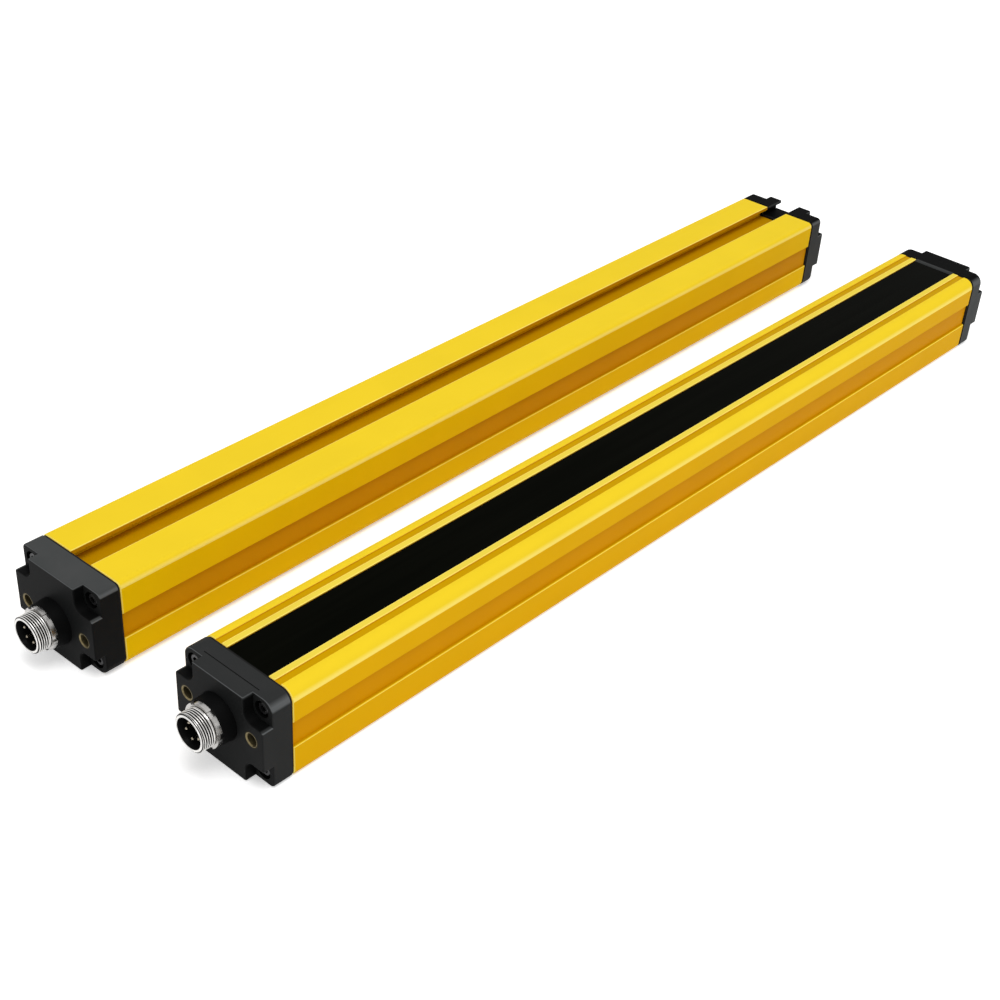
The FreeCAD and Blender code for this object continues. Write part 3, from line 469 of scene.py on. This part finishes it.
def insert_material(bar):
    """Turned brass insert: a brass ring around the bore, with painted shade on the outer rim and on the
    thread inside.
    """
    material, shader = new_material(bar + "_insert_brass")
    place = in_frame(material, BAR_FRAMES[bar])
    low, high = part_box("emitter_threaded_inserts")
    axis = BAR_FRAMES["emitter"].inverted() @ Vector((low.x, high.y - INSERT_RADIUS, (low.z + high.z) / 2))
    sideways = vector_node(material, "MULTIPLY", vector_node(material, "ABSOLUTE", place), (0, 1, 0))
    upward = vector_node(material, "MULTIPLY", place, (0, 0, 1))
    folded = vector_node(material, "SUBTRACT", sideways, (0, abs(axis.y), 0))
    height = vector_node(material, "SUBTRACT", upward, (0, 0, axis.z))
    reach = axis_distance(material, vector_node(material, "ADD", folded, height), INSERT_RADIUS)
    # Painted shade on the outer rim and inside the bore, brass between
    ring = ramp(material, reach, [(0.70, 0.0), (0.74, 0.9), (0.86, 0.9), (0.9, 0.0)])
    marks = noise(material, place, BRASS_MARKS, 3.0)
    brass = ramp(material, marks, [(0.3, (0.15, 0.12, 0.06)), (0.7, (0.27, 0.215, 0.11))])
    link(material, mix_colours(material, ring, (0.02, 0.018, 0.008), brass), shader.inputs["Base Color"])
    link(material, ramp(material, marks, [(0.3, 0.32), (0.7, 0.45)]), shader.inputs["Roughness"])
    link(material, ring, shader.inputs["Metallic"])
    set_values(shader, Specular_IOR_Level=0.03)
    bump(material, shader, marks, TOOL_MARK_DEPTH, 0.3)
    return material


# Connector barrel with its thread, in place of the plain CAD barrel

THREAD_PITCH = 1.0 * MM
THREAD_DEPTH = 0.54 * MM
THREAD_STEPS = 96
THREAD_SLICES = 12
THREAD_RUNOUT = 0.3 * MM
BARREL_RADIUS = 8.0 * MM
BARREL_BODY_RADIUS = 7.35 * MM
BARREL_BORE = 6.45 * MM
BARREL_CHAMFER = 0.6 * MM
RIM_ROUNDING = 0.25 * MM


def thread_height(phase):
    """Height of a 60 degree thread over one turn, from 0 at the root to 1 at the crest."""
    ridge = 1 - abs(2 * (phase % 1.0) - 1)
    return min(max((ridge - 0.12) / 0.7, 0.0), 1.0)


def barrel_mesh(length, thread_start):
    """A tube along X from the rim at 0 inward to -length, threaded outside as far as -thread_start."""
    mesh = bmesh.new()
    rows = int(thread_start / THREAD_PITCH * THREAD_SLICES)
    outer = [(-RIM_ROUNDING * 0.3, BARREL_RADIUS - BARREL_CHAMFER - RIM_ROUNDING, False)]
    outer.append((-RIM_ROUNDING, BARREL_RADIUS - BARREL_CHAMFER, False))
    for row in range(rows + 1):
        along = BARREL_CHAMFER + (thread_start - BARREL_CHAMFER) * row / rows
        outer.append((-along, BARREL_RADIUS, True))
    outer.append((-thread_start, BARREL_BODY_RADIUS, False))
    outer.append((-length, BARREL_BODY_RADIUS, False))
    inner = [(-length, BARREL_BORE, False), (-RIM_ROUNDING, BARREL_BORE, False)]
    inner.append((-RIM_ROUNDING * 0.3, BARREL_BORE + RIM_ROUNDING * 0.7, False))
    rings = []
    for x, radius, threaded in outer + inner:
        ring = []
        for step in range(THREAD_STEPS):
            angle = 2 * math.pi * step / THREAD_STEPS
            reach = radius
            if threaded:
                fade_in = (-x - BARREL_CHAMFER) / THREAD_PITCH + 0.3
                fade_out = (thread_start + x) / THREAD_PITCH
                valley = 1 - thread_height(-x / THREAD_PITCH + step / THREAD_STEPS)
                reach -= THREAD_DEPTH * valley * max(min(1.0, fade_in, fade_out), 0)
            ring.append(mesh.verts.new((x, reach * math.cos(angle), reach * math.sin(angle))))
        rings.append(ring)
    for first, second in zip(rings, rings[1:] + rings[:1]):
        for step in range(THREAD_STEPS):
            following = (step + 1) % THREAD_STEPS
            mesh.faces.new((first[step], first[following], second[following], second[step]))
    bmesh.ops.recalc_face_normals(mesh, faces=mesh.faces)
    return mesh


def add_piece(name, mesh, matrix, material, replaced):
    """A new piece of the object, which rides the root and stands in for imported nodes."""
    data = bpy.data.meshes.new(name)
    mesh.to_mesh(data)
    mesh.free()
    data.transform(matrix)
    piece = bpy.data.objects.new(name, data)
    bpy.context.scene.collection.objects.link(piece)
    data.materials.append(material)
    for polygon in data.polygons:
        polygon.use_smooth = True
    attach(piece, "root")
    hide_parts(*replaced)


def smooth_nodes():
    """Smooth shading across faces that meet at under 30 degrees."""
    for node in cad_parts.values():
        data = node.data
        data.polygons.foreach_set("use_smooth", [True] * len(data.polygons))
        data.set_sharp_from_angle(angle=math.radians(30))


# Stage, lights and camera

FLOOR_HALF_SIZE = 6.0
FLOOR_WHITE = (0.93, 0.93, 0.93, 1)
FLOOR_GLOW = 0.42
AMBIENT_LEVEL = 0.6
# Place, edge length and power of each softbox, both aimed at the middle of the object
SOFTBOXES = {
    "key_softbox": ((-0.35, -0.5, 1.9), 1.2, 20.0),
    "side_softbox": ((0.9, -1.3, 0.35), 0.7, 1.2),
}
CAMERA_PLACE = (-0.5245, -0.4077, 0.4188)
CAMERA_TURN = (54.158, -3.267, -47.759)
CAMERA_LENS = 59.29
CAMERA_SHIFT_UP = 0.06


def seen_directly(owner):
    """1 for rays from the camera, off glossy surfaces and through glass, and 0 for the rest."""
    path = add(owner, "ShaderNodeLightPath")
    seen = math_node(owner, "MAXIMUM", path.outputs["Is Camera Ray"], path.outputs["Is Glossy Ray"])
    return math_node(owner, "MAXIMUM", seen, path.outputs["Is Transmission Ray"])


def floor_stage():
    """A plain white floor that keeps the object's shadow and shows as white itself."""
    data = bpy.data.meshes.new("floor")
    signs = [(-1, -1), (1, -1), (1, 1), (-1, 1)]
    data.from_pydata([(x * FLOOR_HALF_SIZE, y * FLOOR_HALF_SIZE, 0) for x, y in signs], [], [(0, 1, 2, 3)])
    floor = bpy.data.objects.new("floor", data)
    bpy.context.scene.collection.objects.link(floor)
    material, shader = new_material("floor_white")
    set_values(shader, Base_Color=FLOOR_WHITE, Roughness=0.9, Specular_IOR_Level=0.0)
    glow = math_node(material, "MULTIPLY", seen_directly(material), FLOOR_GLOW)
    link(material, glow, shader.inputs["Emission Strength"])
    set_values(shader, Emission_Color=(1, 1, 1, 1))
    data.materials.append(material)


def studio_world():
    """A white world that lights the object at a plain level and shows as white itself."""
    world = bpy.data.worlds.new("studio")
    bpy.context.scene.world = world
    world.use_nodes = True
    world.node_tree.nodes.clear()
    strength = add(world, "ShaderNodeMapRange", {"Value": seen_directly(world), "To Min": AMBIENT_LEVEL})
    inputs = {"Color": (1, 1, 1, 1), "Strength": strength.outputs["Result"]}
    background = add(world, "ShaderNodeBackground", inputs)
    add(world, "ShaderNodeOutputWorld", {"Surface": background.outputs["Background"]})


def lights():
    for name, (location, size, watts) in SOFTBOXES.items():
        data = bpy.data.lights.new(name, "AREA")
        data.shape = "SQUARE"
        data.size = size
        data.energy = watts
        light = bpy.data.objects.new(name, data)
        bpy.context.scene.collection.objects.link(light)
        light.location = location
        light.rotation_euler = (-Vector(location)).to_track_quat("-Z", "Y").to_euler()


def camera():
    data = bpy.data.cameras.new("camera")
    data.sensor_width = 36.0
    data.lens = CAMERA_LENS
    data.shift_y = CAMERA_SHIFT_UP
    data.clip_start = 0.01
    seat = bpy.data.objects.new("camera", data)
    bpy.context.scene.collection.objects.link(seat)
    seat.location = CAMERA_PLACE
    seat.rotation_euler = [math.radians(angle) for angle in CAMERA_TURN]
    bpy.context.scene.camera = seat


# Plain moulded pieces of both bars: nodes, colour, roughness and specular level
MOULDED_LOOKS = {
    "seal_black": (
        ("near_gasket", "far_gasket", "window_seals", "connector_seal"), (0.008, 0.008, 0.008), 0.7, 0.1
    ),
    "insulator_black": (("connector_insulator",), (0.002, 0.002, 0.002), 0.6, 0.02),
    "board_green": (("optics_board", "control_board", "connector_board"), (0.02, 0.13, 0.06), 0.4, 0.4),
    "inner_black": (
        ("optics_carrier", "control_chips", "board_header", "angle_header"), (0.01, 0.01, 0.01), 0.5, 0.3
    ),
    "status_white": (("status_leds",), (0.7, 0.7, 0.68), 0.4, 0.4),
    "lens_clear": (("lens_strip", "status_light_guide"), (0.8, 0.82, 0.84), 0.1, 0.5),
}
# Plain metal pieces of both bars: nodes, colour and roughness
METAL_LOOKS = {
    "screw_black": (("near_cap_screws", "far_cap_screws"), (0.06, 0.06, 0.062), 0.35),
    "plated_nut": (("connector_nut",), (0.5, 0.49, 0.475), 0.24),
    "pin_plated": (("connector_pins",), (0.34, 0.3, 0.23), 0.25),
}


def dress_all():
    for bar in BARS:
        dress([bar + "_housing_profile"], coat_material(bar))
        dress([bar + "_threaded_inserts"], insert_material(bar))
    for bar, end, *greys in CAP_LOOKS:
        dress([f"{bar}_{end}_cap"], cap_material(bar, end, *greys))
    dress(on_both("front_window"), window_material())
    for name, (pieces, *look) in MOULDED_LOOKS.items():
        dress(on_both(*pieces), moulded_material(name, *look))
    for name, (pieces, *look) in METAL_LOOKS.items():
        dress(on_both(*pieces), metal_material(name, *look))
    elements = moulded_material("element_violet", (0.05, 0.03, 0.07), 0.2, 0.5)
    dress(["emitter_infrared_leds", "receiver_photodiodes"], elements)


def threaded_barrels():
    low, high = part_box("emitter_connector_shell")
    thread_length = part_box("emitter_connector_nut")[0].x - low.x - THREAD_RUNOUT
    for bar in BARS:
        mesh = barrel_mesh(high.x - low.x, thread_length)
        material = thread_material(bar)
        name = bar + "_threaded_barrel"
        replaced = [bar + "_connector_shell"]
        add_piece(name, mesh, connector_frame(bar), material, replaced)


bpy.context.scene.view_settings.view_transform = "Standard"
smooth_nodes()
dress_all()
threaded_barrels()
floor_stage()
studio_world()
lights()
camera()
